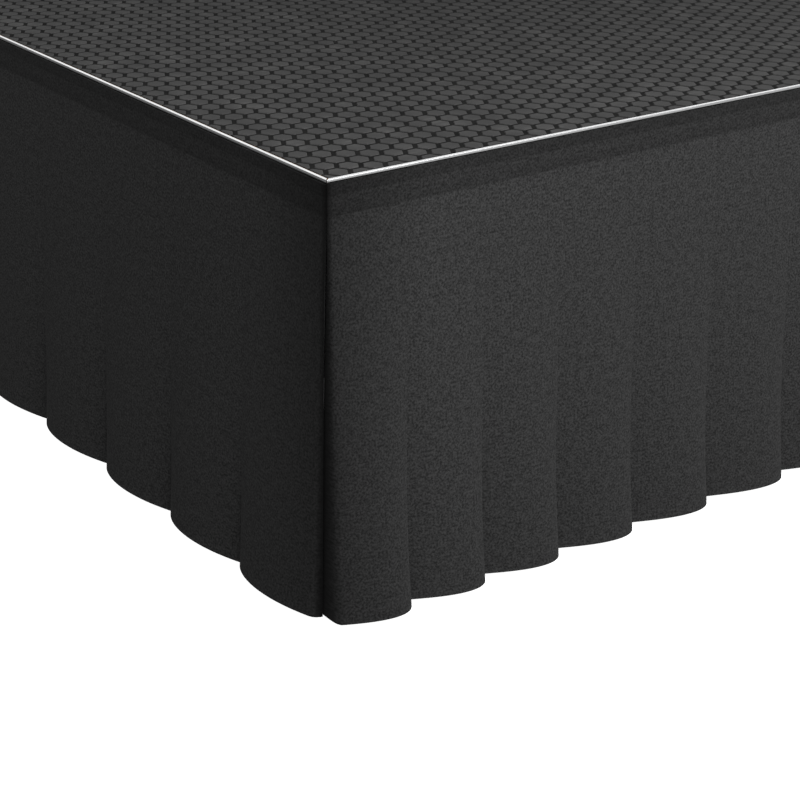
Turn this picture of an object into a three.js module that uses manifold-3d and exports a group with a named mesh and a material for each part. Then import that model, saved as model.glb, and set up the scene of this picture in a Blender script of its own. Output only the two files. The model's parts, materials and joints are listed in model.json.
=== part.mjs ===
// Low stage riser platform: a film-faced plywood deck in a mitred aluminium frame, on four clamped
// plug-in legs with levelling feet, closed on all four sides by black skirts on hook tape.
// Millimetres, +Z up, floor at z = 0, X along the long side, the origin under the middle of the deck.

import * as THREE from 'three';
import { mergeVertices } from 'three/addons/utils/BufferGeometryUtils.js';
import Module from 'manifold-3d';

const wasm = await Module();
wasm.setup();

// ---- driving dimensions -------------------------------------------------------------------------

const deckLength = 2000;
const deckWidth = 1000;
const deckHeight = 200;

const fitGap = 0.3; // between pieces that touch on the real platform

const boardThickness = 12;
const lipProud = 0.4; // the rail's lip stands this much above the board
const lipThickness = 2.5;
const noseHeight = 1.2; // the lip's edge, which overhangs the skirt's top
const faceRecess = 1.5; // the rail's face behind that edge, where the tape and the cloth sit

const railHeight = 88;
const railDepth = 30;
const railWall = 3;
const ledgeThickness = 4;
const railLip = 10; // the turned-in edges of the channel

const joistWidth = 40;
const joistWall = 3;
const joistPlaces = { left: -500, middle: 0, right: 500 };

const legSize = 50;
const legWall = 3;
const legInset = 62.5; // from the deck's edge to the leg's axis
const socketWall = 6;
const socketLift = 4; // above the rail's bottom
const stopThickness = 6; // the socket's closed top
const socketClearance = 0.5;
const armWidth = 40;
const armHeight = 43;

const clampScrewRadius = 5.9;
const clampHoleRadius = 6.3;
const clampTravel = 3.5;
const clampNoseRadius = 3.2;
const clampNoseLength = 3.6;
const clampNoseClearance = 0.4;
const shoeSize = 30;
const shoeThickness = 6;
const shoeContactGap = 0.1;
const bossWall = 8;
const bossRim = 5.5;
const pocketClearance = 2.5; // behind the shoe when it is drawn right back
const knobStart = 25; // from the leg's face
const knobHub = 8;
const knobHubRadius = 11;
const knobThickness = 14;
const knobCap = 4; // closes the end of the screw
const knobRadius = 20;
const knobLobes = 5;
const knobLobeRise = 2.5;

const boltRadius = 4;
const boltHeadRadius = 7.7;
const boltLength = 22;
const boltHeadRim = 0.1;
const boltEndClearance = 2; // in the socket's arm

const padHeight = 14;
const padRadius = 30;
const padEdge = 6;
const pivotRadius = 7;
const pivotFloor = 5;
const spindleRadius = 8;
const spindleTop = 82;
const spindleChamfer = 2;
const hexFlats = 24;
const nutHeight = 7;
const plugFlange = 3;
const plugDepth = 25;

const tapeEndInset = 20;
const skirtEndInset = 0.6; // from the deck's corner at each end
const headingTapeDrop = 1;

const skirtThickness = 0.9;
const skirtHemClear = 3;
const headingHeight = 15;
const skirtFlareLong = 15;
const skirtFlareEnd = 21;
const tapeHeight = 20;
const tapeThickness = 0.6;

const roundSides = 24;
const overcut = 1; // how far a cutting shape runs past the face that it cuts

// ---- levels worked out from them ----------------------------------------------------------------

const railBottom = deckHeight - railHeight;
const boardTop = deckHeight - lipProud;
const boardBottom = boardTop - boardThickness;
const ledgeTop = boardBottom - fitGap;
const skirtTop = deckHeight - noseHeight - fitGap;

const socketBottom = railBottom + socketLift;
const socketTop = ledgeTop - ledgeThickness;
const legTop = socketTop - stopThickness - fitGap;
const clampLevel = (socketBottom + socketTop) / 2;

const nutBottom = padHeight + fitGap + nutHeight;
const plugBottom = nutBottom + nutHeight + fitGap;
const legBottom = plugBottom + plugFlange + fitGap;

// ---- materials ----------------------------------------------------------------------------------

function finish(color, roughness, metalness) {
  return new THREE.MeshStandardMaterial({ color, roughness, metalness });
}

const filmFacedPly = finish(0x474747, 0.6, 0);
const railAluminium = finish(0xc8cacc, 0.35, 1);
const castAluminium = finish(0x9a9da0, 0.55, 1);
const legAluminium = finish(0xb4b7ba, 0.4, 1);
const zincSteel = finish(0x8d8f92, 0.4, 1);
const blackPlastic = finish(0x191919, 0.5, 0);
const blackRubber = finish(0x141414, 0.85, 0);
const skirtCloth = finish(0x2b2b2c, 0.95, 0);
const hookTape = finish(0x121212, 0.9, 0);

// ---- shaping helpers ----------------------------------------------------------------------------

function toSolid(geometry) {
  const bare = geometry.clone();
  bare.deleteAttribute('normal');
  bare.deleteAttribute('uv');
  const merged = mergeVertices(bare, 1e-4);
  const vertProperties = new Float32Array(merged.attributes.position.array);
  const triVerts = new Uint32Array(merged.index.array);
  return new wasm.Manifold(new wasm.Mesh({ numProp: 3, vertProperties, triVerts }));
}

function toGeometry(solid) {
  const { vertProperties, triVerts } = solid.getMesh();
  const geometry = new THREE.BufferGeometry();
  geometry.setAttribute('position', new THREE.BufferAttribute(new Float32Array(vertProperties), 3));
  geometry.setIndex(new THREE.BufferAttribute(new Uint32Array(triVerts), 1));
  geometry.computeVertexNormals();
  return geometry;
}

// Joins the first list of geometries and cuts the second list out of them.
function carve(joined, cut = []) {
  const body = joined.map(toSolid).reduce((whole, piece) => whole.add(piece));
  return toGeometry(cut.map(toSolid).reduce((whole, piece) => whole.subtract(piece), body));
}

function boxBetween([x0, x1], [y0, y1], [z0, z1]) {
  const box = new THREE.BoxGeometry(Math.abs(x1 - x0), Math.abs(y1 - y0), Math.abs(z1 - z0));
  return box.translate((x0 + x1) / 2, (y0 + y1) / 2, (z0 + z1) / 2);
}

function rectangle(width, height) {
  const shape = new THREE.Shape();
  shape.moveTo(-width / 2, -height / 2);
  shape.lineTo(width / 2, -height / 2);
  shape.lineTo(width / 2, height / 2);
  shape.lineTo(-width / 2, height / 2);
  return shape;
}

// A rectangular tube standing along Z, from its lower end.
function squareTube(width, depth, wall, length) {
  const shape = rectangle(width, depth);
  shape.holes.push(rectangle(width - 2 * wall, depth - 2 * wall));
  return new THREE.ExtrudeGeometry(shape, { depth: length, bevelEnabled: false });
}

// A section drawn in Y and Z, extruded along X about the middle of its length.
function extrudeAlongX(section, length) {
  const shape = new THREE.Shape(section.map(([y, z]) => new THREE.Vector2(y, z)));
  const geometry = new THREE.ExtrudeGeometry(shape, { depth: length, bevelEnabled: false });
  const alongX = new THREE.Vector3(1, 0, 0);
  const alongY = new THREE.Vector3(0, 1, 0);
  const alongZ = new THREE.Vector3(0, 0, 1);
  geometry.applyMatrix4(new THREE.Matrix4().makeBasis(alongY, alongZ, alongX));
  return geometry.translate(-length / 2, 0, 0);
}

// A turned piece: its profile is a list of [radius, height], revolved about Z.
function turned(profile) {
  const points = profile.map(([radius, height]) => new THREE.Vector2(radius, height));
  return new THREE.LatheGeometry(points, roundSides).rotateX(Math.PI / 2);
}

// A plain rod along Z, solid between two levels; also the shape that cuts a round hole.
function turnedRod(radius, bottom, top) {
  return turned([[0, bottom], [radius, bottom], [radius, top], [0, top]]);
}

function hexPrism(flats, bottom, top, holeRadius = 0) {
  const reach = flats / Math.sqrt(3);
  const corners = Array.from({ length: 6 }, (_, i) => {
    const turn = (i * Math.PI) / 3;
    return new THREE.Vector2(reach * Math.cos(turn), reach * Math.sin(turn));
  });
  const shape = new THREE.Shape(corners);
  if (holeRadius > 0) shape.holes.push(new THREE.Path().absarc(0, 0, holeRadius, 0, 2 * Math.PI, true));
  const options = { depth: top - bottom, bevelEnabled: false, curveSegments: roundSides / 2 };
  return new THREE.ExtrudeGeometry(shape, options).translate(0, 0, bottom);
}

function named(name, geometry, material) {
  const mesh = new THREE.Mesh(geometry, material);
  mesh.name = name;
  return mesh;
}

// ---- deck board and joists ----------------------------------------------------------------------

function deckBoard() {
  const inset = lipThickness + fitGap;
  const board = new THREE.BoxGeometry(deckLength - 2 * inset, deckWidth - 2 * inset, boardThickness);
  const mesh = named('deck_board', board, filmFacedPly);
  mesh.position.z = boardBottom + boardThickness / 2;
  return mesh;
}

// Box tubes across the frame, from channel to channel, close under the board.
function crossJoist(place, x) {
  const length = deckWidth - 2 * (railDepth + fitGap);
  const depth = ledgeTop - railBottom;
  const tube = squareTube(joistWidth, depth, joistWall, length).rotateX(Math.PI / 2);
  const mesh = named(`cross_joist_${place}`, tube, railAluminium);
  mesh.position.set(x, length / 2, railBottom + depth / 2);
  return mesh;
}

// ---- one side of the frame, seen from outside with its face at y = 0 and inward as +Y -----------

const webInner = faceRecess + railWall;
const railSection = [
  [faceRecess, railBottom],
  [railDepth, railBottom],
  [railDepth, railBottom + railWall + railLip],
  [railDepth - railWall, railBottom + railWall + railLip],
  [railDepth - railWall, railBottom + railWall],
  [webInner, railBottom + railWall],
  [webInner, ledgeTop - ledgeThickness],
  [railDepth - railWall, ledgeTop - ledgeThickness],
  [railDepth - railWall, ledgeTop - ledgeThickness - railLip],
  [railDepth, ledgeTop - ledgeThickness - railLip],
  [railDepth, ledgeTop],
  [lipThickness, ledgeTop],
  [lipThickness, deckHeight],
  [0, deckHeight],
  [0, deckHeight - noseHeight],
  [faceRecess, deckHeight - noseHeight],
];

// The countersunk bolt lies along +Y from the rail's face; grow makes the hole that it sits in.
function boltShape(grow) {
  const headTop = grow > 0 ? -overcut : fitGap;
  const profile = [
    [0, headTop],
    [boltHeadRadius + grow, headTop],
    [boltHeadRadius + grow, fitGap + boltHeadRim],
    [boltRadius + grow, railWall + fitGap],
    [boltRadius + grow, boltLength + grow],
    [0, boltLength + grow],
  ];
  return turned(profile).rotateX(-Math.PI / 2);
}

// Each end is cut back by its distance from the outer face, which makes the 45 degree mitre.
function mitredRail(length) {
  const rail = extrudeAlongX(railSection, length);
  const position = rail.attributes.position;
  for (let i = 0; i < position.count; i += 1) {
    const end = Math.sign(position.getX(i));
    position.setX(i, end * (length / 2 - position.getY(i) - fitGap));
  }
  const boltPlaces = [-1, 1].map((end) => end * (length / 2 - legInset));
  const holes = boltPlaces.map((x) => boltShape(fitGap).translate(x, faceRecess, clampLevel));
  return carve([rail], holes);
}

function skirtPanel(length, flare) {
  const inner = faceRecess - (fitGap + tapeThickness + fitGap);
  const outer = inner - skirtThickness;
  return extrudeAlongX([
    [inner, skirtHemClear],
    [inner, skirtTop],
    [outer, skirtTop],
    [outer, skirtTop - headingHeight],
    [-flare, skirtHemClear],
  ].reverse(), length);
}

function platformSide(name, length, flare, angle, reach, boltNames) {
  const side = new THREE.Group();
  side.rotation.z = angle;
  side.position.set(Math.sin(angle) * reach, -Math.cos(angle) * reach, 0);
  side.add(named(`rail_${name}`, mitredRail(length), railAluminium));

  const tapeTop = skirtTop - headingTapeDrop;
  const tapeRun = length / 2 - tapeEndInset;
  const tapeFace = [faceRecess - fitGap - tapeThickness, faceRecess - fitGap];
  const tape = boxBetween([-tapeRun, tapeRun], tapeFace, [tapeTop - tapeHeight, tapeTop]);
  side.add(named(`hook_tape_${name}`, tape, hookTape));
  side.add(named(`skirt_${name}`, skirtPanel(length - 2 * skirtEndInset, flare), skirtCloth));

  boltNames.forEach((boltName, i) => {
    const bolt = named(boltName, boltShape(0), zincSteel);
    bolt.position.set((i === 0 ? -1 : 1) * (length / 2 - legInset), faceRecess, clampLevel);
    side.add(bolt);
  });
  return side;
}

// ---- one corner, about the leg's axis; outX and outY point to the deck's outside ----------------

// The cast socket: a sleeve with a closed top, two arms into the channels, and the clamp's boss.
function cornerSocket(outX, outY) {
  const bore = legSize / 2 + socketClearance;
  const sleeve = bore + socketWall;
  const reach = legInset - webInner - fitGap;
  const arm = armWidth / 2;
  const armLevels = [clampLevel - armHeight / 2, clampLevel + armHeight / 2];
  const shoe = shoeSize / 2 + socketClearance;
  const shoeLevels = [clampLevel - shoe, clampLevel + shoe];
  const pocketEnd = bore + shoeThickness + clampTravel + pocketClearance;
  const boss = shoe + bossRim;
  const bossLevels = [clampLevel - boss, clampLevel + boss];

  const joined = [
    boxBetween([-sleeve, sleeve], [-sleeve, sleeve], [socketBottom, socketTop]),
    boxBetween([outX * (sleeve - overcut), outX * reach], [-arm, arm], armLevels),
    boxBetween([-arm, arm], [outY * (sleeve - overcut), outY * reach], armLevels),
    boxBetween([-outX * (sleeve - overcut), -outX * (pocketEnd + bossWall)], [-boss, boss], bossLevels),
  ];
  const screwHole = turnedRod(clampHoleRadius, -bossWall, bossWall);
  const boltReach = boltLength + boltEndClearance - railWall;
  const boltBore = turnedRod(boltRadius + fitGap, -boltReach, boltReach);
  const cut = [
    boxBetween([-bore, bore], [-bore, bore], [socketBottom - overcut, socketTop - stopThickness]),
    boxBetween([-outX * (bore - overcut), -outX * pocketEnd], [-shoe, shoe], shoeLevels),
    screwHole.rotateY(Math.PI / 2).translate(-outX * (pocketEnd + bossWall / 2), 0, clampLevel),
    boltBore.clone().rotateY(Math.PI / 2).translate(outX * reach, 0, clampLevel),
    boltBore.clone().rotateX(Math.PI / 2).translate(0, outY * reach, clampLevel),
  ];
  return carve(joined, cut);
}

function legPlug() {
  const inner = legSize / 2 - legWall - fitGap;
  const flange = legSize / 2;
  const plugTop = legBottom + plugDepth;
  const body = [
    boxBetween([-flange, flange], [-flange, flange], [plugBottom, plugBottom + plugFlange]),
    boxBetween([-inner, inner], [-inner, inner], [plugBottom + overcut, plugTop]),
  ];
  return carve(body, [turnedRod(spindleRadius + fitGap, plugBottom - overcut, plugTop + overcut)]);
}

function footPad() {
  const socket = pivotRadius + fitGap;
  return turned([
    [0, 0],
    [padRadius - padEdge / 3, 0],
    [padRadius, padEdge / 3],
    [padRadius, padEdge],
    [pivotRadius * 2, padHeight],
    [socket, padHeight],
    [socket, pivotFloor],
    [0, pivotFloor],
  ]);
}

function footSpindle() {
  const collarBottom = padHeight + fitGap;
  const collarTop = nutBottom - fitGap;
  const shaft = turned([
    [0, pivotFloor + fitGap],
    [pivotRadius, pivotFloor + fitGap],
    [pivotRadius, collarBottom + 1],
    [spindleRadius, collarBottom + 2],
    [spindleRadius, spindleTop - spindleChamfer],
    [spindleRadius - spindleChamfer, spindleTop],
    [0, spindleTop],
  ]);
  return carve([shaft, hexPrism(hexFlats, collarBottom, collarTop)]);
}

// The clamp lies along +Z here, from the leg's face at z = 0 outwards to the knob.
const shoeEnd = shoeContactGap + shoeThickness;
const screwStart = shoeEnd + fitGap;
const knobFace = knobStart + knobHub;
const knobEnd = knobFace + knobThickness;
const screwEnd = knobEnd - knobCap;

function clampShoe() {
  const half = shoeSize / 2;
  const plate = boxBetween([-half, half], [-half, half], [shoeContactGap, shoeEnd]);
  const dimpleRadius = clampNoseRadius + clampNoseClearance;
  const dimple = turnedRod(dimpleRadius, screwStart - clampNoseLength - fitGap, shoeEnd + overcut);
  return carve([plate], [dimple]);
}

function clampScrew() {
  return turned([
    [0, screwStart - clampNoseLength],
    [clampNoseRadius, screwStart - clampNoseLength],
    [clampNoseRadius, screwStart],
    [clampScrewRadius, screwStart],
    [clampScrewRadius, screwEnd],
    [0, screwEnd],
  ]);
}

function clampKnob() {
  const steps = 8 * knobLobes;
  const outline = Array.from({ length: steps }, (_, i) => {
    const turn = (i / steps) * 2 * Math.PI;
    const radius = knobRadius + knobLobeRise * Math.cos(knobLobes * turn);
    return new THREE.Vector2(radius * Math.cos(turn), radius * Math.sin(turn));
  });
  const options = { depth: knobThickness, bevelEnabled: false };
  const star = new THREE.ExtrudeGeometry(new THREE.Shape(outline), options).translate(0, 0, knobFace);
  const hub = turnedRod(knobHubRadius, knobStart, knobFace + overcut);
  const bore = turnedRod(clampScrewRadius + fitGap, knobStart - overcut, screwEnd + fitGap);
  return carve([star, hub], [bore]);
}

function platformCorner(name, outX, outY) {
  const corner = new THREE.Group();
  corner.position.set(outX * (deckLength / 2 - legInset), outY * (deckWidth / 2 - legInset), 0);
  corner.add(named(`corner_socket_${name}`, cornerSocket(outX, outY), castAluminium));

  const tube = squareTube(legSize, legSize, legWall, legTop - legBottom);
  const leg = named(`leg_${name}`, tube, legAluminium);
  leg.position.z = legBottom;
  corner.add(leg);
  corner.add(named(`leg_plug_${name}`, legPlug(), blackPlastic));
  const nut = hexPrism(hexFlats, nutBottom, nutBottom + nutHeight, spindleRadius + fitGap);
  corner.add(named(`lock_nut_${name}`, nut, zincSteel));
  corner.add(named(`foot_spindle_${name}`, footSpindle(), zincSteel));
  corner.add(named(`foot_pad_${name}`, footPad(), blackRubber));

  const clamp = new THREE.Group();
  clamp.position.set((-outX * legSize) / 2, 0, clampLevel);
  clamp.rotation.y = (-outX * Math.PI) / 2;
  clamp.add(named(`clamp_shoe_${name}`, clampShoe(), zincSteel));
  clamp.add(named(`clamp_screw_${name}`, clampScrew(), zincSteel));
  clamp.add(named(`clamp_knob_${name}`, clampKnob(), blackPlastic));
  corner.add(clamp);
  return corner;
}

// ---- the whole platform -------------------------------------------------------------------------

const platform = new THREE.Group();
platform.add(deckBoard());
Object.entries(joistPlaces).forEach(([place, x]) => platform.add(crossJoist(place, x)));

const quarter = Math.PI / 2;
const sides = [
  ['front', deckLength, skirtFlareLong, 0, deckWidth / 2, ['front_left', 'front_right']],
  ['right', deckWidth, skirtFlareEnd, quarter, deckLength / 2, ['front_right', 'back_right']],
  ['back', deckLength, skirtFlareLong, 2 * quarter, deckWidth / 2, ['back_right', 'back_left']],
  ['left', deckWidth, skirtFlareEnd, -quarter, deckLength / 2, ['back_left', 'front_left']],
];
for (const [name, length, flare, angle, reach, corners] of sides) {
  const boltNames = corners.map((corner) => `socket_bolt_${corner}_in_${name}_rail`);
  platform.add(platformSide(name, length, flare, angle, reach, boltNames));
}

const corners = { front_left: [-1, -1], front_right: [1, -1], back_right: [1, 1], back_left: [-1, 1] };
for (const [name, [outX, outY]] of Object.entries(corners)) {
  platform.add(platformCorner(name, outX, outY));
}

export default platform;
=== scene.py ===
import json
import math
import random

import bmesh
import bpy
from mathutils import Matrix, Vector

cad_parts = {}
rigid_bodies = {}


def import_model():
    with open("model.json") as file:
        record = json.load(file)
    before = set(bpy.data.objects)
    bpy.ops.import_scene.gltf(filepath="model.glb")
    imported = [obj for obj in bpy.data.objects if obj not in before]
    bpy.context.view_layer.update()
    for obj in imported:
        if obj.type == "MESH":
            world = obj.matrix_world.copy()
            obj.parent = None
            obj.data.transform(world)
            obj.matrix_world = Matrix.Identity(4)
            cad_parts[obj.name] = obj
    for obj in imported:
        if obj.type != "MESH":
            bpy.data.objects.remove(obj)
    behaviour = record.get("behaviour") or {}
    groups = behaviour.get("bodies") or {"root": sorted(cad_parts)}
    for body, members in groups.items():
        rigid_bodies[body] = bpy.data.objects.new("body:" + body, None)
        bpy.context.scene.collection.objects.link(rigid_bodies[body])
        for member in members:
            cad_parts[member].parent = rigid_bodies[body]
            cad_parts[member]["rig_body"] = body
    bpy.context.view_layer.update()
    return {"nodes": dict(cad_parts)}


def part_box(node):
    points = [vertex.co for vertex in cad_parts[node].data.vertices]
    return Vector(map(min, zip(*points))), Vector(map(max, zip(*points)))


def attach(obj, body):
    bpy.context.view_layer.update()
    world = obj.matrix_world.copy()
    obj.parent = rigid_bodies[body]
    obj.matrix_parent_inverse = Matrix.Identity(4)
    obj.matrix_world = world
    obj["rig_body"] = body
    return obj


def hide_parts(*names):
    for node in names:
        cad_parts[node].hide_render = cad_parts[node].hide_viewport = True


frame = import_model()


# ---- Deck board ---------------------------------------------------------------------------------
# Birch plywood with a dark phenolic film pressed on both faces. The sawn edge shows its plies.
# The board drops onto the ledge of the frame, just below the lip.

ply_pair = 0.0026
ply_colours = ((0.30, 0.19, 0.10), (0.47, 0.34, 0.20))
film_colours = ((0.011, 0.011, 0.011), (0.017, 0.0169, 0.0166))
arris = 0.0003


def new_finish(name, roughness, metallic=0.0, specular=0.5):
    finish = bpy.data.materials.new(name)
    finish.use_nodes = True
    shader = finish.node_tree.nodes["Principled BSDF"]
    shader.inputs["Roughness"].default_value = roughness
    shader.inputs["Metallic"].default_value = metallic
    shader.inputs["Specular IOR Level"].default_value = specular
    return finish


def add_node(finish, kind, inputs, **settings):
    node = finish.node_tree.nodes.new("ShaderNode" + kind)
    for name, value in settings.items():
        setattr(node, name, value)
    for name, value in inputs.items():
        if isinstance(value, bpy.types.NodeSocket):
            finish.node_tree.links.new(value, node.inputs[name])
        else:
            node.inputs[name].default_value = value
    return node


def calc(finish, operation, first, second=0.0):
    return add_node(finish, "Math", {0: first, 1: second}, operation=operation).outputs[0]


def object_place(finish, scale=(1, 1, 1)):
    place = add_node(finish, "TexCoord", {}).outputs["Object"]
    return add_node(finish, "Mapping", {"Vector": place, "Scale": scale}).outputs["Vector"]


def grain(finish, place, scale, detail=2.0, roughness=0.5):
    inputs = {"Vector": place, "Scale": scale, "Detail": detail, "Roughness": roughness}
    return add_node(finish, "TexNoise", inputs).outputs["Fac"]


def spread(finish, value, low, high, to_low, to_high):
    inputs = {"Value": value, "From Min": low, "From Max": high, "To Min": to_low, "To Max": to_high}
    return add_node(finish, "MapRange", inputs).outputs["Result"]


def tones(finish, value, low, high, dark, light):
    ramp = add_node(finish, "ValToRGB", {"Fac": value})
    stops = ramp.color_ramp.elements
    stops[0].position = low
    stops[1].position = high
    stops[0].color = (*dark, 1)
    stops[1].color = (*light, 1)
    return ramp.outputs["Color"]


def mix(finish, share, first, second, kind="MIX"):
    node = add_node(finish, "Mix", {0: share, 6: first, 7: second}, data_type="RGBA", blend_type=kind)
    return node.outputs[2]


def relief(finish, height, depth, below=None):
    inputs = {"Height": height, "Distance": depth, "Strength": 1.0}
    if below is not None:
        inputs["Normal"] = below
    return add_node(finish, "Bump", inputs).outputs["Normal"]


def surface(finish, **sockets):
    shader = finish.node_tree.nodes["Principled BSDF"]
    names = {"colour": "Base Color", "roughness": "Roughness", "normal": "Normal"}
    for name, socket in sockets.items():
        finish.node_tree.links.new(socket, shader.inputs[names[name]])


def make_piece(shape, name, finish, body="platform", crease=35):
    mesh = bpy.data.meshes.new(name)
    shape.to_mesh(mesh)
    shape.free()
    mesh.shade_smooth()
    mesh.set_sharp_from_angle(angle=math.radians(crease))
    mesh.materials.append(finish)
    piece = bpy.data.objects.new(name, mesh)
    bpy.context.scene.collection.objects.link(piece)
    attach(piece, body)
    return piece


def round_edges(shape, width, segments=2, longer_than=0.0):
    sharp = [
        edge for edge in shape.edges
        if edge.is_manifold and edge.calc_face_angle() > 0.6 and edge.calc_length() > longer_than
    ]
    bmesh.ops.bevel(
        shape, geom=sharp, offset=width, segments=segments, profile=0.5, affect="EDGES",
        material=-1, clamp_overlap=True,
    )


def merged_copy(node):
    shape = bmesh.new()
    shape.from_mesh(frame["nodes"][node].data)
    bmesh.ops.remove_doubles(shape, verts=shape.verts, dist=1e-6)
    flat = math.radians(1)
    bmesh.ops.dissolve_limit(shape, angle_limit=flat, verts=shape.verts, edges=shape.edges)
    return shape


# A merged copy of a frame part with its edges rounded, standing for that part.
def eased(node, name, width, finish, long_width=0.0, shape=None):
    shape = shape or merged_copy(node)
    if long_width > 0:
        round_edges(shape, long_width, segments=4, longer_than=0.1)
    round_edges(shape, width)
    piece = make_piece(shape, name, finish, frame["nodes"][node]["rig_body"])
    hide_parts(node)
    return piece


film = new_finish("phenolic_film_on_birch", roughness=0.62, specular=0.03)
film_place = object_place(film)
film_normal = add_node(film, "NewGeometry", {}).outputs["Normal"]
film_up = add_node(film, "SeparateXYZ", {"Vector": film_normal}).outputs["Z"]
film_level = add_node(film, "SeparateXYZ", {"Vector": film_place}).outputs["Z"]
on_face = calc(film, "GREATER_THAN", calc(film, "ABSOLUTE", film_up), 0.5)
ply_wave = calc(film, "SINE", calc(film, "MULTIPLY", film_level, 2 * math.pi / ply_pair))
ply = tones(film, ply_wave, 0.0, 0.3, *ply_colours)
film_mottle = tones(film, grain(film, film_place, 140, 4), 0.35, 0.65, *film_colours)
surface(
    film,
    colour=mix(film, on_face, ply, film_mottle),
    normal=relief(film, grain(film, film_place, 2600, 3), 0.00006),
)
eased("deck_board", "deck_board_film_faced", arris, film)


# ---- Grip hexagons ------------------------------------------------------------------------------
# The film's top face is pressed into close rows of flat hexagons, so that shoes and feet grip.
# Their tops are scuffed grey with use and the grooves stay dark; the tops are also painted lighter towards
# the deck's edges and darker further in, as painted light.

pad_pitch = 0.010
row_pitch = pad_pitch * math.sqrt(3) / 2
pad_flats = 0.0081
pad_slope = 0.0003
pad_height = 0.00035
pad_seat = 0.00005
pad_columns = 201
pad_rows = 116
pad_tones = ((0.047, 0.047, 0.047), (0.067, 0.0666, 0.0661))
scuff_tone = (0.105, 0.1045, 0.103, 1)
edge_light_levels = (0.78, 1.13)

grip = new_finish("scuffed_film_and_painted_light", roughness=0.6, specular=0.02)
grip_place = object_place(grip)
grip_patches = grain(grip, grip_place, 55, 3)
grip_grain = grain(grip, grip_place, 1500, 3)
scuffs = grain(grip, object_place(grip, (1.0, 0.12, 1.0)), 420, 5, 0.7)
scuff_share = spread(grip, calc(grip, "MULTIPLY", scuffs, grip_patches), 0.30, 0.42, 0.0, 0.45)
grip_base = tones(grip, calc(grip, "MULTIPLY", grip_patches, grip_grain), 0.15, 0.36, *pad_tones)
grip_axes = add_node(grip, "SeparateXYZ", {"Vector": grip_place}).outputs
# Painted light: the tops are painted lighter towards the deck's edges and darker further in.
past_side = calc(grip, "SUBTRACT", calc(grip, "ABSOLUTE", grip_axes["X"]), 1.0)
past_front = calc(grip, "SUBTRACT", calc(grip, "ABSOLUTE", grip_axes["Y"]), 0.5)
edge_painted_light = spread(grip, calc(grip, "MAXIMUM", past_side, past_front), -0.24, -0.02, *edge_light_levels)
edge_painted_light_grey = add_node(grip, "CombineColor", {"Red": edge_painted_light, "Green": edge_painted_light, "Blue": edge_painted_light})
grip_scuffed = mix(grip, scuff_share, grip_base, scuff_tone)
surface(
    grip,
    colour=mix(grip, 1.0, grip_scuffed, edge_painted_light_grey.outputs["Color"], "MULTIPLY"),
    roughness=spread(grip, grip_grain, 0.3, 0.7, 0.52, 0.7),
    normal=relief(grip, grip_grain, 0.00008),
)

board_low, board_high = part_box("deck_board")
pads_left = -pad_pitch * (pad_columns - 0.5) / 2
pads_front = -row_pitch * (pad_rows - 1) / 2


def pad_field(name, first_column, columns):
    pattern = bmesh.new()
    for odd in (0, 1):
        centre = Vector((pads_left + (first_column + odd / 2) * pad_pitch, pads_front + odd * row_pitch, 0))
        centre.z = board_high.z + (pad_height - pad_seat) / 2
        bmesh.ops.create_cone(
            pattern, cap_ends=True, cap_tris=False, segments=6, depth=pad_height + pad_seat,
            radius1=pad_flats / math.sqrt(3), radius2=(pad_flats - 2 * pad_slope) / math.sqrt(3),
            matrix=Matrix.Translation(centre),
        )
    mesh = bpy.data.meshes.new("pad_pattern")
    pattern.to_mesh(mesh)
    pattern.free()
    pair = bpy.data.objects.new("pad_pattern", mesh)
    bpy.context.scene.collection.objects.link(pair)
    for count, step in ((columns, (pad_pitch, 0, 0)), (pad_rows // 2, (0, 2 * row_pitch, 0))):
        array = pair.modifiers.new("repeat", "ARRAY")
        array.use_relative_offset = False
        array.use_constant_offset = True
        array.constant_offset_displace = step
        array.count = count
    field = bmesh.new()
    field.from_object(pair, bpy.context.evaluated_depsgraph_get())
    bpy.data.objects.remove(pair)
    for outwards, edge in ((-1, board_low), (1, board_high)):
        for direction in (Vector((outwards, 0, 0)), Vector((0, outwards, 0))):
            everything = field.verts[:] + field.edges[:] + field.faces[:]
            cut = bmesh.ops.bisect_plane(
                field, geom=everything, dist=1e-7, plane_co=edge, plane_no=direction, clear_outer=True
            )
            rims = [part for part in cut["geom_cut"] if isinstance(part, bmesh.types.BMEdge)]
            bmesh.ops.holes_fill(field, edges=rims, sides=0)
    piece = make_piece(field, name, grip, crease=20)


field_columns = pad_columns // 3
for place_number, place_name in enumerate(("left", "middle", "right")):
    pad_field(f"grip_hexagons_{place_name}", place_number * field_columns, field_columns)


# ---- Frame rails and joists ---------------------------------------------------------------------
# Mill-finish aluminium extrusions: four channels, mitred and welded into a rectangle, whose thin
# lip shows round the board, and three box joists welded between them.

mill_tones = ((0.66, 0.67, 0.68), (0.80, 0.80, 0.80))
lip_chamfer = 0.0009
lip_least_length = 0.5
joist_rounding = 0.0012
side_names = ("front", "right", "back", "left")


def extruded_finish(name, streaks):
    finish = new_finish(name, roughness=0.32, metallic=1.0)
    lines = grain(finish, object_place(finish, streaks), 1.0, 3, 0.6)
    cloud = grain(finish, object_place(finish), 24, 3)
    surface(
        finish,
        colour=tones(finish, lines, 0.3, 0.7, *mill_tones),
        roughness=spread(finish, cloud, 0.3, 0.7, 0.26, 0.42),
        normal=relief(finish, lines, 0.00002),
    )
    return finish


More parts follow.
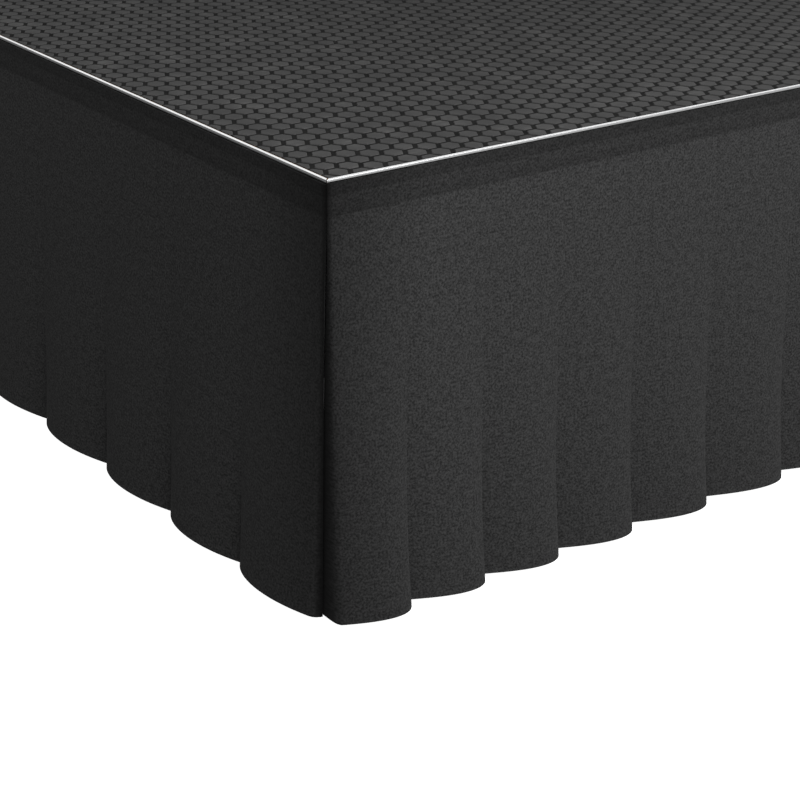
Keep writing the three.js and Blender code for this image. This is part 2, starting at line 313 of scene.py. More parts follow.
mill_along_x = extruded_finish("mill_aluminium_along_x", (4, 1500, 1500))
mill_along_y = extruded_finish("mill_aluminium_along_y", (1500, 4, 1500))
lip_glow = bpy.data.collections.new("edge_rails_only")
for side_name in side_names:
    across, finish_here = (1, mill_along_x) if side_name in ("front", "back") else (0, mill_along_y)
    rail_node = f"rail_{side_name}"
    rail_shape = merged_copy(rail_node)
    lip_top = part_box(rail_node)[1].z - 1e-5
    lip_edges = [
        edge for edge in rail_shape.edges
        if edge.calc_length() > lip_least_length and min(vertex.co.z for vertex in edge.verts) > lip_top
    ]
    inner_edge = min(lip_edges, key=lambda edge: abs(edge.verts[0].co[across]))
    bmesh.ops.bevel(
        rail_shape, geom=[inner_edge], offset=lip_chamfer, segments=1, profile=0.5, affect="EDGES",
        material=-1, clamp_overlap=True,
    )
    rail_name = f"edge_rail_{side_name}"
    lip_glow.objects.link(eased(rail_node, rail_name, arris, finish_here, shape=rail_shape))
for place_name in ("left", "middle", "right"):
    joist_node = f"cross_joist_{place_name}"
    eased(joist_node, f"box_joist_{place_name}", arris, mill_along_y, joist_rounding)


# ---- Weld beads ---------------------------------------------------------------------------------
# The joists and the mitres are welded. Each bead is a run of small overlapping ripples, left as
# welded, a little duller and greyer than the rails.

bead_radius = 0.0028
bead_step = 0.0016
bead_start = 0.6
bead_swell = 1.5
ripple_swell = 1.12
joist_weld_height = 0.07
joist_weld_inset = 0.003
mitre_weld_inset = 0.004
mitre_weld_short = 0.007
weld_tones = ((0.42, 0.42, 0.43), (0.66, 0.66, 0.66))

weld = new_finish("weld_bead", roughness=0.5, metallic=1.0)
weld_cloud = grain(weld, object_place(weld), 500, 4)
surface(
    weld,
    colour=tones(weld, weld_cloud, 0.35, 0.65, *weld_tones),
    normal=relief(weld, grain(weld, object_place(weld), 2500), 0.00008),
)


def new_edges(made):
    return [part for part in made["geom"] if isinstance(part, bmesh.types.BMEdge)]


def new_verts(made):
    return [part for part in made["geom"] if isinstance(part, bmesh.types.BMVert)]


def bead(shape, start, end):
    run = Vector(end) - Vector(start)
    steps = round(run.length / bead_step)
    turn = Vector((0, 0, 1)).rotation_difference(run).to_matrix().to_4x4()
    place = Matrix.Translation(start) @ turn
    rim = bmesh.ops.create_circle(
        shape, cap_ends=True, segments=10, radius=bead_radius * bead_start, matrix=place
    )["verts"]
    rim_edges = list({edge for vertex in rim for edge in vertex.link_edges})
    for step in range(1, 2 * steps + 1):
        grown = bmesh.ops.extrude_edge_only(shape, edges=rim_edges)
        rim_edges = new_edges(grown)
        rim_verts = new_verts(grown)
        bmesh.ops.translate(shape, verts=rim_verts, vec=run / (2 * steps))
        centre = Vector(start) + run * step / (2 * steps)
        size = bead_swell if step == 1 else (ripple_swell if step % 2 else 1 / ripple_swell)
        bmesh.ops.scale(shape, verts=rim_verts, vec=(size,) * 3, space=Matrix.Translation(-centre))
    bmesh.ops.contextual_create(shape, geom=rim_edges)


rail_low, rail_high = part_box("rail_front")
rail_depth = rail_high.y - rail_low.y
for place_name in ("left", "middle", "right"):
    joist_low, joist_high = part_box(f"cross_joist_{place_name}")
    beads = bmesh.new()
    for x in (joist_low.x, joist_high.x):
        for y in (joist_low.y, joist_high.y):
            bead(beads, (x, y, joist_low.z + bead_radius), (x, y, joist_low.z + joist_weld_height))
    for y in (joist_low.y, joist_high.y):
        left_end = (joist_low.x + joist_weld_inset, y, joist_low.z)
        right_end = (joist_high.x - joist_weld_inset, y, joist_low.z)
        bead(beads, left_end, right_end)
    bmesh.ops.recalc_face_normals(beads, faces=beads.faces)
    make_piece(beads, f"joist_welds_{place_name}", weld, crease=60)

corner_signs = {"front_left": (-1, -1), "front_right": (1, -1), "back_right": (1, 1), "back_left": (-1, 1)}
for corner_name, (out_x, out_y) in corner_signs.items():
    beads = bmesh.new()
    outer_x = out_x * (rail_high.x - mitre_weld_inset)
    outer_y = out_y * (-rail_low.y - mitre_weld_inset)
    outer = Vector((outer_x, outer_y, rail_low.z))
    inner = outer - Vector((out_x, out_y, 0)) * (rail_depth - mitre_weld_short)
    bead(beads, outer, inner)
    bmesh.ops.recalc_face_normals(beads, faces=beads.faces)
    make_piece(beads, f"mitre_weld_{corner_name}", weld, crease=60)


# ---- Corner sockets -----------------------------------------------------------------------------
# Sand-cast aluminium, blasted: a square sleeve with a closed top, two arms that bolt into the
# channels, and the boss that the clamp screw runs through.

cast_edge = 0.0011
cast_tones = ((0.40, 0.405, 0.41), (0.56, 0.565, 0.57))

cast = new_finish("blasted_casting", roughness=0.6, metallic=1.0)
cast_place = object_place(cast)
cast_skin = grain(cast, cast_place, 900, 4, 0.6)
cast_patches = grain(cast, cast_place, 45, 3)
surface(
    cast,
    colour=tones(cast, calc(cast, "MULTIPLY", cast_skin, cast_patches), 0.15, 0.35, *cast_tones),
    roughness=spread(cast, cast_patches, 0.3, 0.7, 0.5, 0.7),
    normal=relief(cast, cast_skin, 0.0003),
)
for corner_name in corner_signs:
    eased(f"corner_socket_{corner_name}", f"cast_socket_{corner_name}", cast_edge, cast)


# ---- Socket bolts -------------------------------------------------------------------------------
# Zinc-plated countersunk screws with a hexagon key socket, flush in the rails' outer faces. They
# pull each casting's arms against the channels.

bolt_pitch = 0.00125
bolt_thread_depth = 0.0006
bolt_shank_radius = 0.004
bolt_plain_shank = 0.003
bolt_thread_start = 0.002
thread_run_out = 1.2
key_flats = 0.005
key_depth = 0.0032
head_cone = 0.003
head_rim = 0.0002
round_steps = 32
zinc_tones = ((0.42, 0.43, 0.46), (0.62, 0.62, 0.60))

zinc = new_finish("zinc_plated_steel", roughness=0.34, metallic=1.0)
zinc_place = object_place(zinc)
zinc_cloud = grain(zinc, zinc_place, 130, 4)
surface(
    zinc,
    colour=tones(zinc, zinc_cloud, 0.3, 0.7, *zinc_tones),
    roughness=spread(zinc, zinc_cloud, 0.3, 0.7, 0.28, 0.46),
    normal=relief(zinc, grain(zinc, zinc_place, 1800), 0.00003),
)


# A threaded rod along +Z between two levels: one turn's outline, spun up the axis.
def thread(shape, radius, depth, pitch, bottom, top, steps=20):
    rod = bmesh.new()
    turns = math.ceil((top - bottom) / pitch) + 3
    outline = ((radius - depth, 0.0), (radius, 0.4), (radius, 0.6), (radius - depth, 1.0))
    corners = [rod.verts.new((r, 0, bottom + (share - 2) * pitch)) for r, share in outline]
    flanks = [rod.edges.new(pair) for pair in zip(corners, corners[1:])]
    bmesh.ops.spin(
        rod, geom=corners + flanks, cent=(0, 0, 0), axis=(0, 0, 1), dvec=(0, 0, pitch / steps),
        angle=2 * math.pi * turns, steps=steps * turns, use_merge=False, use_duplicate=False,
    )
    bmesh.ops.remove_doubles(rod, verts=rod.verts, dist=2e-6)
    for level, outwards in ((bottom, -1), (top, 1)):
        everything = rod.verts[:] + rod.edges[:] + rod.faces[:]
        bmesh.ops.bisect_plane(
            rod, geom=everything, dist=1e-7, plane_co=(0, 0, level), plane_no=(0, 0, outwards),
            clear_outer=True,
        )
        rims = [edge for edge in rod.edges if edge.is_boundary and abs(edge.verts[0].co.z - level) < 1e-6]
        bmesh.ops.holes_fill(rod, edges=rims, sides=0)
    for vertex in rod.verts:
        limit = radius - depth + thread_run_out * min(vertex.co.z - bottom, top - vertex.co.z)
        reach_now = vertex.co.xy.length
        if reach_now > limit:
            vertex.co.xy = vertex.co.xy * (limit / reach_now)
    bmesh.ops.recalc_face_normals(rod, faces=rod.faces)
    add_to(shape, rod)


def add_to(shape, part):
    mesh = bpy.data.meshes.new("part")
    part.to_mesh(mesh)
    part.free()
    shape.from_mesh(mesh)
    bpy.data.meshes.remove(mesh)


# Turns a shape made along +Z to face another way, and moves its origin there.
def aim(shape, direction, origin):
    turn = Vector((0, 0, 1)).rotation_difference(Vector(direction)).to_matrix()
    bmesh.ops.rotate(shape, cent=(0, 0, 0), matrix=turn, verts=shape.verts)
    bmesh.ops.translate(shape, vec=origin, verts=shape.verts)


def countersunk_bolt(head_radius, shank_radius, length):
    head = bmesh.new()
    rim = bmesh.ops.create_circle(head, segments=round_steps, radius=head_radius)["verts"]
    rim_edges = list({edge for vertex in rim for edge in vertex.link_edges})
    key = bmesh.ops.create_circle(head, segments=6, radius=key_flats / math.sqrt(3))["verts"]
    key_edges = list({edge for vertex in key for edge in vertex.link_edges})
    bmesh.ops.bridge_loops(head, edges=rim_edges + key_edges)
    sunk = bmesh.ops.extrude_edge_only(head, edges=key_edges)
    bmesh.ops.translate(head, verts=new_verts(sunk), vec=(0, 0, -key_depth))
    bmesh.ops.contextual_create(head, geom=new_edges(sunk))
    profile = ((head_rim, head_radius), (head_cone, shank_radius), (bolt_plain_shank, shank_radius))
    for drop, radius in profile:
        grown = bmesh.ops.extrude_edge_only(head, edges=rim_edges)
        rim_edges = new_edges(grown)
        rim = new_verts(grown)
        size = radius / rim[0].co.xy.length
        bmesh.ops.scale(head, verts=rim, vec=(size, size, 1))
        bmesh.ops.translate(head, verts=rim, vec=(0, 0, -drop))
    bmesh.ops.contextual_create(head, geom=rim_edges)
    bmesh.ops.recalc_face_normals(head, faces=head.faces)
    thread(head, shank_radius, bolt_thread_depth, bolt_pitch, -length, -head_cone - bolt_thread_start)
    return head


side_outwards = {"front": (0, -1, 0), "right": (1, 0, 0), "back": (0, 1, 0), "left": (-1, 0, 0)}
side_corners = {
    "front": ("front_left", "front_right"), "right": ("front_right", "back_right"),
    "back": ("back_right", "back_left"), "left": ("back_left", "front_left"),
}
for side_name, outwards in side_outwards.items():
    for corner_name in side_corners[side_name]:
        bolt_node = f"socket_bolt_{corner_name}_in_{side_name}_rail"
        low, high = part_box(bolt_node)
        direction = Vector(outwards)
        bolt_length = abs((high - low).dot(direction))
        head_radius = (high.z - low.z) / 2
        bolt = countersunk_bolt(head_radius, bolt_shank_radius, bolt_length)
        aim(bolt, direction, (low + high) / 2 + direction * bolt_length / 2)
        piece = make_piece(bolt, f"countersunk_bolt_{corner_name}_{side_name}", zinc)
        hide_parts(bolt_node)


# ---- Legs ---------------------------------------------------------------------------------------
# Square aluminium tube with rounded corners, sawn to length and satin anodised. Each leg plugs up
# into its socket. Handling leaves uneven streaks across the tube's sheen.

leg_corner = 0.0022
leg_end_edge = 0.0004
anodised_tones = ((0.58, 0.585, 0.59), (0.70, 0.705, 0.71))

anodised = new_finish("satin_anodised_tube", roughness=0.38, metallic=1.0)
anodised_lines = grain(anodised, object_place(anodised, (900, 900, 6)), 1.0, 3, 0.6)
anodised_marks = grain(anodised, object_place(anodised, (60, 60, 320)), 1.0, 4, 0.7)
surface(
    anodised,
    colour=tones(anodised, anodised_lines, 0.3, 0.7, *anodised_tones),
    roughness=spread(anodised, anodised_marks, 0.35, 0.7, 0.3, 0.5),
    normal=relief(anodised, anodised_lines, 0.00002),
)
for corner_name in corner_signs:
    tube_name = f"leg_tube_{corner_name}"
    eased(f"leg_{corner_name}", tube_name, leg_end_edge, anodised, leg_corner)


# ---- Leg plugs, lock nuts and levelling spindles -------------------------------------------------
# A moulded plug closes each leg's foot and guides the spindle, an M16 screw with a hexagon collar
# to turn it by. The lock nut holds its setting, and its turned end sits in the rubber pad.

spindle_pitch = 0.002
spindle_thread_depth = 0.0011
spindle_radius = 0.008
pivot_radius = 0.007
collar_height = 0.0067
hexagon_flats = 0.024
hexagon_edge = 0.0007
small_edge = 0.0006
running_gap = 0.0003
thread_overlap = 0.001
neck_overlap = 0.003
pivot_chamfer = 0.001
pivot_height = 0.006
groove_depth = 0.0006
groove_level = 0.0065
plastic_tones = ((0.016, 0.016, 0.017), (0.028, 0.028, 0.029))

plastic = new_finish("moulded_black_nylon", roughness=0.5, specular=0.4)
plastic_place = object_place(plastic)
plastic_skin = grain(plastic, plastic_place, 1600, 2)
plastic_flow = grain(plastic, plastic_place, 90, 3)
surface(
    plastic,
    colour=tones(plastic, plastic_flow, 0.3, 0.7, *plastic_tones),
    roughness=spread(plastic, plastic_flow, 0.3, 0.7, 0.42, 0.6),
    normal=relief(plastic, plastic_skin, 0.00012),
)


def hexagon(shape, bottom, top):
    place = Matrix.Translation((0, 0, (bottom + top) / 2)) @ Matrix.Rotation(math.pi / 6, 4, "Z")
    block = bmesh.new()
    bmesh.ops.create_cone(
        block, cap_ends=True, segments=6, radius1=hexagon_flats / math.sqrt(3),
        radius2=hexagon_flats / math.sqrt(3), depth=top - bottom, matrix=place,
    )
    round_edges(block, hexagon_edge)
    add_to(shape, block)


def turned(shape, outline, steps=round_steps):
    part = bmesh.new()
    corners = [part.verts.new((radius, 0, level)) for radius, level in outline]
    edges = [part.edges.new(pair) for pair in zip(corners, corners[1:])]
    bmesh.ops.spin(
        part, geom=corners + edges, cent=(0, 0, 0), axis=(0, 0, 1), angle=2 * math.pi, steps=steps,
        use_merge=True, use_duplicate=False,
    )
    bmesh.ops.remove_doubles(part, verts=part.verts, dist=1e-6)
    bmesh.ops.recalc_face_normals(part, faces=part.faces)
    add_to(shape, part)


for corner_name in corner_signs:
    eased(f"leg_plug_{corner_name}", f"moulded_plug_{corner_name}", small_edge, plastic)
    eased(f"lock_nut_{corner_name}", f"hexagon_nut_{corner_name}", small_edge, zinc)

    low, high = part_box(f"foot_spindle_{corner_name}")
    nut_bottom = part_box(f"lock_nut_{corner_name}")[0].z
    collar_top = nut_bottom - running_gap
    spindle = bmesh.new()
    thread_bottom = collar_top - thread_overlap
    thread(spindle, spindle_radius, spindle_thread_depth, spindle_pitch, thread_bottom, high.z)
    hexagon(spindle, collar_top - collar_height, collar_top)
    turned(spindle, (
        (0, low.z), (pivot_radius - pivot_chamfer, low.z), (pivot_radius, low.z + pivot_chamfer),
        (pivot_radius, low.z + pivot_height), (pivot_radius - groove_depth, low.z + groove_level),
        (pivot_radius - groove_depth, collar_top - neck_overlap), (0, collar_top - neck_overlap),
    ))
    middle = (low + high) / 2
    bmesh.ops.translate(spindle, vec=(middle.x, middle.y, 0), verts=spindle.verts)
    piece = make_piece(spindle, f"threaded_spindle_{corner_name}", zinc, f"foot_spindle_{corner_name}")
    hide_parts(f"foot_spindle_{corner_name}")


# ---- Foot pads ----------------------------------------------------------------------------------
# Moulded rubber, with grip rings under the sole and a socket that the spindle's end turns in.

pad_steps = 64
sole_ring = 0.002
ring_depth = 0.0012
ring_draft = 0.0003
ring_places = (0.010, 0.015, 0.020, 0.025)
pad_mouth = 0.0082
pad_socket_radius = 0.0073
pad_socket_floor = 0.005
pad_crown = 0.0135
pad_shoulder = 0.0155
rubber_tones = ((0.011, 0.011, 0.011), (0.024, 0.024, 0.023))

rubber = new_finish("moulded_rubber", roughness=0.85, specular=0.25)
rubber_place = object_place(rubber)
rubber_dust = grain(rubber, rubber_place, 70, 4)
surface(
    rubber,
    colour=tones(rubber, rubber_dust, 0.4, 0.7, *rubber_tones),
    roughness=spread(rubber, rubber_dust, 0.3, 0.7, 0.78, 0.92),
    normal=relief(rubber, grain(rubber, rubber_place, 1300, 3), 0.0002),
)
for corner_name in corner_signs:
    low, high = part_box(f"foot_pad_{corner_name}")
    pad_radius = (high.x - low.x) / 2
    sole = [(0, low.z)]
    for ring in ring_places:
        sole += [(ring, low.z), (ring + ring_draft, low.z + ring_depth)]
        sole += [(ring + sole_ring - ring_draft, low.z + ring_depth), (ring + sole_ring, low.z)]
    side = [
        (pad_radius - 0.002, low.z), (pad_radius - 0.0006, low.z + 0.0006), (pad_radius, low.z + 0.002),
        (pad_radius, low.z + 0.0055), (pad_radius - 0.0007, low.z + 0.0066), (pad_shoulder, high.z - 0.001),
        (pad_crown, high.z), (pad_mouth, high.z), (pad_socket_radius, high.z - 0.0009),
        (pad_socket_radius, low.z + pad_socket_floor), (0, low.z + pad_socket_floor),
    ]
    pad = bmesh.new()
    turned(pad, sole + side, pad_steps)
    middle = (low + high) / 2
    bmesh.ops.translate(pad, vec=(middle.x, middle.y, 0), verts=pad.verts)
    piece = make_piece(pad, f"rubber_foot_{corner_name}", rubber, f"foot_pad_{corner_name}")
    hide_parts(f"foot_pad_{corner_name}")


# ---- Leg clamps ---------------------------------------------------------------------------------
# A steel shoe bears on the leg, pressed by an M12 screw through the casting's boss. The screw is
# moulded into a five-lobed nylon knob.

clamp_pitch = 0.00175
clamp_thread_depth = 0.0009
clamp_thread_start = 0.0036
nose_radius = 0.0032
nose_tip = 0.0028
nose_bevel = 0.0004
nose_length = 0.0046
knob_radius = 0.02
knob_lobes = 5
knob_steps = 16 * knob_lobes
knob_lobe_rise = 0.0025
knob_thickness = 0.014
knob_hub_radius = 0.011
knob_rounding = 0.0022
knob_rim = 0.003
knob_dish = 0.0012
hub_overlap = 0.001
hub_fillet = 0.0008
hub_neck = 0.0016
bore_gap = 0.0002
bore_end = 0.002

for corner_name, (out_x, _) in corner_signs.items():
    eased(f"clamp_shoe_{corner_name}", f"pressure_shoe_{corner_name}", small_edge, zinc)
    direction = Vector((-out_x, 0, 0))
    low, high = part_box(f"clamp_screw_{corner_name}")
    screw_length = high.x - low.x
    screw_radius = (high.z - low.z) / 2
    nose = (low + high) / 2 - direction * screw_length / 2
    screw = bmesh.new()
    thread(screw, screw_radius, clamp_thread_depth, clamp_pitch, clamp_thread_start, screw_length)
    turned(screw, (
        (0, 0), (nose_tip, 0), (nose_radius, nose_bevel), (nose_radius, nose_length), (0, nose_length),
    ))
    aim(screw, direction, nose)
    piece = make_piece(screw, f"threaded_clamp_screw_{corner_name}", zinc, f"clamp_screw_{corner_name}")
    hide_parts(f"clamp_screw_{corner_name}")

    low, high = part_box(f"clamp_knob_{corner_name}")
    knob_length = high.x - low.x
    knob = bmesh.new()
    face = bmesh.ops.create_circle(knob, cap_ends=True, segments=knob_steps, radius=knob_radius)["verts"]
    for vertex in face:
        turn = math.atan2(vertex.co.y, vertex.co.x)
        vertex.co.xy *= 1 + knob_lobe_rise / knob_radius * math.cos(knob_lobes * turn)
    grown = bmesh.ops.extrude_face_region(knob, geom=knob.faces[:])
    bmesh.ops.translate(knob, vec=(0, 0, knob_thickness), verts=new_verts(grown))
    bmesh.ops.recalc_face_normals(knob, faces=knob.faces)
    round_edges(knob, knob_rounding, segments=4)
    knob.faces.ensure_lookup_table()
    cap = max(knob.faces, key=lambda f: (round(f.calc_center_median().z, 6), f.calc_area()))
    bmesh.ops.inset_region(knob, faces=[cap], thickness=knob_rim)
    bmesh.ops.inset_region(knob, faces=[cap], thickness=knob_dish, depth=-knob_dish)
    bmesh.ops.translate(knob, vec=(0, 0, knob_length - knob_thickness), verts=knob.verts)
    hub_top = knob_length - knob_thickness + hub_overlap
    turned(knob, (
        (0, hub_top), (knob_hub_radius + hub_fillet, hub_top), (knob_hub_radius, hub_top - hub_neck),
        (knob_hub_radius, hub_fillet), (knob_hub_radius - hub_fillet, 0), (screw_radius + bore_gap, 0),
        (screw_radius + bore_gap, hub_top - bore_end), (0, hub_top - bore_end),
    ))
    aim(knob, direction, (low + high) / 2 - direction * knob_length / 2)
    piece = make_piece(knob, f"star_knob_{corner_name}", plastic, f"clamp_screw_{corner_name}")
    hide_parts(f"clamp_knob_{corner_name}")


# ---- Hook tape ----------------------------------------------------------------------------------
# Woven black tape with nylon hooks, stuck to the rails' outer faces behind each skirt's heading.

hook_tones = ((0.006, 0.006, 0.006), (0.03, 0.03, 0.03))

hooks = new_finish("nylon_hook_tape", roughness=0.7, specular=0.3)
hook_cells = add_node(hooks, "TexVoronoi", {"Vector": object_place(hooks), "Scale": 1100.0})
surface(
    hooks,
    colour=tones(hooks, hook_cells.outputs["Distance"], 0.1, 0.6, hook_tones[1], hook_tones[0]),
    roughness=spread(hooks, hook_cells.outputs["Distance"], 0.0, 0.6, 0.55, 0.85),
    normal=relief(hooks, hook_cells.outputs["Distance"], 0.0006),
)
for side_name in side_names:
    frame["nodes"][f"hook_tape_{side_name}"].material_slots[0].material = hooks


# ---- Skirts -------------------------------------------------------------------------------------
# Black felted polyester, one panel to a side. A double band along the top carries the loop tape and
# sits flush under the lip; below it the cloth falls outwards and opens in round ripples at the hem.

cloth_thickness = 0.0009
cloth_face = 0.0006
heading_drop = 0.015
binding_drop = 0.0054
band_step = 0.0003
band_share = 0.7
band_taper = 0.5
binding_edge = 0.0002
tuck_depth = 0.00012
tuck_width = 0.0008
top_step = 0.0003
columns_per_ripple = 24
heading_rows = 12
body_rows = 36
cloth_tones = ((0.0165, 0.0165, 0.0166), (0.0520, 0.0520, 0.0523))
# Painted shade on the top band: the upright binding and the band below it are painted darker than the cloth
# below, for the light they take less of.
binding_painted_shade = 0.57
band_painted_shades = (0.78, 0.64)
# Painted shade: the cloth is painted darker towards the hem.
hem_painted_shade = 0.80
# Painted shade: each panel is painted darker over its last few centimetres beside the corners.
end_painted_shade = 0.46
end_shade_width = 0.052
end_shade_power = 0.9
end_shade_power_fall = 0.45
# Painted shade: the last few millimetres of each panel's end are painted near black, as the shadow in the gap
# at the corner.
edge_shade = 0.15
edge_shade_width = 0.003
fullness_spread = 0.03
fold_take_up = 2.4
heading_lean = 1.3
fall_power = 1.8
corner_gap = 0.0003
long_side = {"ripples": 26, "gathered_ends": 0.187, "crest": 0.0156, "valley": 0.0081, "lean": (1.0, 0.70),
             "end_reach": 0.0017, "end_bulge": 0.0003, "end_depth": 0.0044, "end_roll": 0.0040}
short_side = {"ripples": 20, "gathered_ends": 0.207, "crest": 0.02124, "valley": 0.0110, "lean": (1.09, 0.40),
              "end_reach": 0.0033, "end_bulge": 0.0028, "end_depth": -0.0025, "end_roll": 0.0045}
half_width = {True: rail_high.x, False: -rail_low.y}

felt = new_finish("felted_black_polyester", roughness=0.95, specular=0.08)
felt_shader = felt.node_tree.nodes["Principled BSDF"]
felt_shader.inputs["Sheen Weight"].default_value = 0.03
felt_shader.inputs["Sheen Roughness"].default_value = 0.6
felt_uv = add_node(felt, "UVMap", {}, uv_map="cloth").outputs["UV"]
felt_fibres = grain(felt, felt_uv, 950, 2, 0.6)
felt_clumps = grain(felt, felt_uv, 260, 3, 0.6)
# The cloth's colour is multiplied by painted shade held on the skirt's vertices: darker in the top band,
# towards the hem and beside the corners.
felt_painted_shade = add_node(felt, "Attribute", {}, attribute_name="painted_cloth_shade").outputs["Fac"]
felt_fine = calc(felt, "MULTIPLY", felt_fibres, 0.75)
felt_pattern = calc(felt, "ADD", felt_fine, calc(felt, "MULTIPLY", felt_clumps, 0.25))
felt_colour = tones(felt, felt_pattern, 0.39, 0.61, *cloth_tones)
felt_painted_shade_grey = add_node(felt, "CombineColor", {"Red": felt_painted_shade, "Green": felt_painted_shade, "Blue": felt_painted_shade})
surface(
    felt,
    colour=mix(felt, 1.0, felt_colour, felt_painted_shade_grey.outputs["Color"], "MULTIPLY"),
    normal=relief(felt, felt_pattern, 0.00015),
)


# Where the cloth stands at one point of its top band, and how much painted shade darkens its colour there.
def heading_point(drop):
    if drop < binding_drop:
        return band_step, binding_painted_shade
    share = (drop - binding_drop) / (heading_drop - binding_drop)
    raised = band_step * (band_share - band_taper * share)
    return raised, band_painted_shades[0] + (band_painted_shades[1] - band_painted_shades[0]) * share


# How far out a ripple stands at one share of its width: a gentle rise, then a fold that drops back.
def ripple_shape(share, lean):
    top = lean[0] / (lean[0] + lean[1])
    return (share / top) ** lean[0] * ((1 - share) / (1 - top)) ** lean[1]


def hang_skirt(
    name, turn, ripples, gathered_ends, crest, valley, lean, end_reach, end_bulge, end_depth, end_roll,
):
    low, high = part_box(f"skirt_{name}")
    along_x = turn % 180 == 0
    run = 2 * (half_width[along_x] - corner_gap)
    reach = half_width[not along_x]
    top, hem = high.z, low.z
    heading = top - heading_drop
    rng = random.Random(turn)
    fullness_of = [1 + rng.uniform(-fullness_spread, fullness_spread) for _ in range(ripples)]
    columns = ripples * columns_per_ripple
    binding_rows = round(heading_rows * binding_drop / heading_drop)
    shape = bmesh.new()
    bmesh.ops.create_grid(shape, x_segments=columns, y_segments=heading_rows + body_rows, size=0.5)
    # Each vertex carries painted shade for the cloth's colour.
    shade = shape.verts.layers.float.new("painted_cloth_shade")
    uv = shape.loops.layers.uv.new("cloth")
    flat_places = {}
    hem_length = 1 + fold_take_up * ((crest - valley) * ripples / run) ** 2
    for vertex in shape.verts:
        column = round((vertex.co.x + 0.5) * columns)
        row = round((0.5 - vertex.co.y) * (heading_rows + body_rows))
        number = min(column // columns_per_ripple, ripples - 1)
        share = column / columns_per_ripple - number
        across = (1 - math.cos(math.pi * share)) / 2
        from_corner = across if number < ripples / 2 else 1 - across
        drop = heading_drop * row / heading_rows
        if row == binding_rows:
            drop = binding_drop - binding_edge
        if row == binding_rows + 1:
            drop = binding_drop + binding_edge
        hang = max(0, row - heading_rows) / body_rows
        level = top - drop if hang == 0 else heading - (heading - hem) * hang
        t = (number + across) / ripples
        even = t - gathered_ends * math.sin(2 * math.pi * t) / (2 * math.pi)
        spread_run = run + 2 * (corner_gap + end_reach + end_bulge) * hang
        s = spread_run * (even - 0.5)
        lean_here = [heading_lean + (power - heading_lean) * hang for power in lean]
        fold = ripple_shape(from_corner, lean_here)
        out = cloth_face - band_step + (valley - cloth_face) * hang
        out += (crest - valley) * fullness_of[number] * hang ** fall_power * fold
        crease = min(across, 1 - across) * run / ripples
        out -= tuck_depth * (1 - hang) ** 3 * math.exp(-((crease / tuck_width) ** 2))
        # Painted shade: darker towards the hem; in the top band heading_point gives the painted shade
        # instead.
        painted_shade_here = 1 + (hem_painted_shade - 1) * hang
        if hang == 0 and row < heading_rows:
            raised, painted_shade_here = heading_point(drop)
            out += raised
        if row == 0:
            level -= top_step * share
        from_end = spread_run / 2 - abs(s)
        flat_places[vertex] = (s * hem_length, level)
        # Painted shade beside the corners, and near black in the last millimetres at each panel's end.
        end_shade_share = min(1.0, from_end / end_shade_width) ** (end_shade_power - end_shade_power_fall * hang)
        end_shade_here = end_painted_shade + (1 - end_painted_shade) * end_shade_share
        vertex[shade] = painted_shade_here * end_shade_here * min(1.0, edge_shade + from_end / edge_shade_width)
        if from_end < end_roll:
            curl = 1 - from_end / end_roll
            seat = end_depth * hang + cloth_face * (1 - hang)
            out = seat + (out - seat) * math.sqrt(1 - curl ** 2)
            s -= math.copysign(end_bulge * hang * curl ** 2, s)
        vertex.co = Vector((s, -(reach + out), level))
    for face in shape.faces:
        for loop in face.loops:
            loop[uv].uv = flat_places[loop.vert]
    turning = Matrix.Rotation(math.radians(turn), 3, "Z")
    bmesh.ops.rotate(shape, cent=(0, 0, 0), matrix=turning, verts=shape.verts)
    bmesh.ops.recalc_face_normals(shape, faces=shape.faces)
    outwards = turning @ Vector((0, -1, 0))
    if sum(face.normal.dot(outwards) for face in shape.faces) < 0:
        bmesh.ops.reverse_faces(shape, faces=shape.faces)
    bmesh.ops.solidify(shape, geom=shape.faces[:], thickness=cloth_thickness)
    piece = make_piece(shape, f"skirt_panel_{name}", felt, crease=50)
    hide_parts(f"skirt_{name}")


for side_name, turn in zip(side_names, (0, 90, 180, 270)):
    hang_skirt(side_name, turn, **(long_side if turn % 180 == 0 else short_side))


# ---- Studio -------------------------------------------------------------------------------------
# A plain white floor, a soft light high on the right, a broad low one behind, one that only the edge
# rails catch, and a white surround that is darker in front, to the left.

camera_place = (1.6192, -0.9128, 0.4293)
camera_heading = 53.99
camera_dip = 23.57
camera_roll = 0.52
camera_lens = 87.46
surround_levels = (0.13, 0.50)

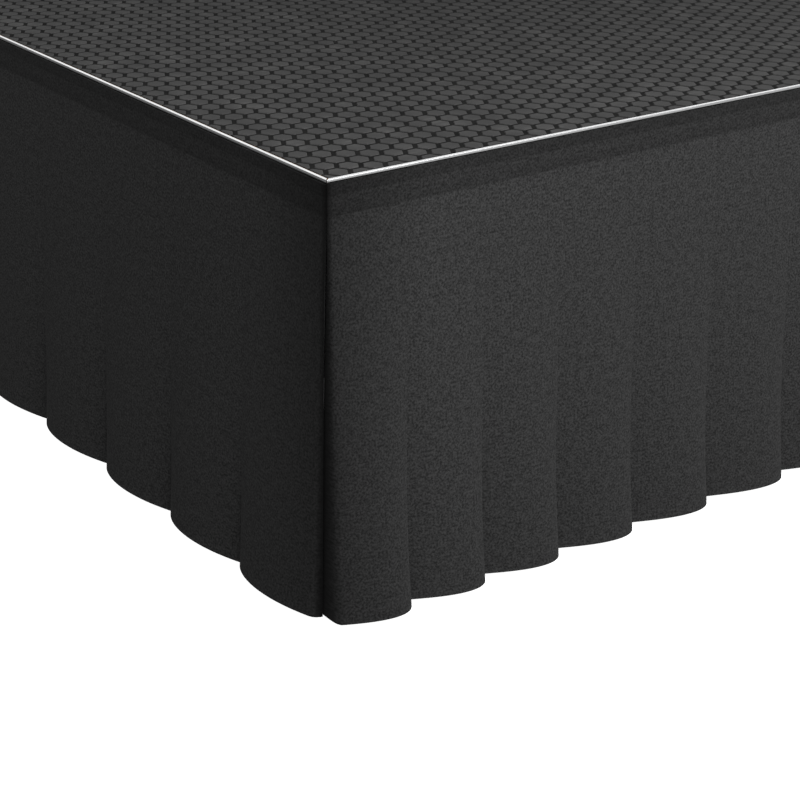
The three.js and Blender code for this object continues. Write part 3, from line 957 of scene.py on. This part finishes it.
floor_shape = bmesh.new()
bmesh.ops.create_grid(floor_shape, x_segments=1, y_segments=1, size=40)
floor_mesh = bpy.data.meshes.new("studio_floor")
floor_shape.to_mesh(floor_mesh)
floor_shape.free()
floor = bpy.data.objects.new("studio_floor", floor_mesh)
bpy.context.scene.collection.objects.link(floor)
floor_paint = new_finish("white_floor", roughness=0.9, specular=0.0)
floor_shader = floor_paint.node_tree.nodes["Principled BSDF"]
floor_shader.inputs["Base Color"].default_value = (0.9, 0.9, 0.9, 1)
floor_shader.inputs["Emission Color"].default_value = (1, 1, 1, 1)
floor_shader.inputs["Emission Strength"].default_value = 1.0
floor_mesh.materials.append(floor_paint)
floor.visible_diffuse = False
floor.visible_glossy = False

world = bpy.data.worlds.new("studio_surround")
world.use_nodes = True
toward = add_node(world, "TexCoord", {}).outputs["Generated"]
lit_side = add_node(world, "VectorMath", {0: toward, 1: (0.8, 0.6, 0.0)}, operation="DOT_PRODUCT")
surround = world.node_tree.nodes["Background"]
surround.inputs["Color"].default_value = (1, 1, 1, 1)
surround_strength = spread(world, lit_side.outputs["Value"], -1.0, 0.0, *surround_levels)
world.node_tree.links.new(surround_strength, surround.inputs["Strength"])
bpy.context.scene.world = world


def softbox(name, size, energy, place, aimed_at):
    light = bpy.data.lights.new(name, "AREA")
    light.shape = "SQUARE"
    light.size = size
    light.energy = energy
    box = bpy.data.objects.new(name, light)
    box.location = place
    box.rotation_euler = (Vector(aimed_at) - Vector(place)).to_track_quat("-Z", "Y").to_euler()
    bpy.context.scene.collection.objects.link(box)
    return box


softbox("soft_key", 1.1, 19, (1.9, -0.33, 1.15), (0.9, -0.2, 0.1))
softbox("side_fill", 2.0, 50, (-2.6, 2.4, 0.7), (0.0, 0.0, 0.1)).visible_glossy = False
lip_light = softbox("lip_softbox", 2.4, 17, (-1.4, 1.3, 1.7), (1.0, -0.5, 0.2))
lip_light.light_linking.receiver_collection = lip_glow

camera = bpy.data.cameras.new("camera")
camera.lens = camera_lens
camera.sensor_width = 36
camera_object = bpy.data.objects.new("camera", camera)
heading_turn = Matrix.Rotation(math.radians(camera_heading), 4, "Z")
dip_turn = Matrix.Rotation(math.radians(90 - camera_dip), 4, "X")
roll_turn = Matrix.Rotation(math.radians(camera_roll), 4, "Z")
camera_object.matrix_world = Matrix.Translation(camera_place) @ heading_turn @ dip_turn @ roll_turn
bpy.context.scene.collection.objects.link(camera_object)
bpy.context.scene.camera = camera_object
bpy.context.scene.view_settings.view_transform = "Standard"
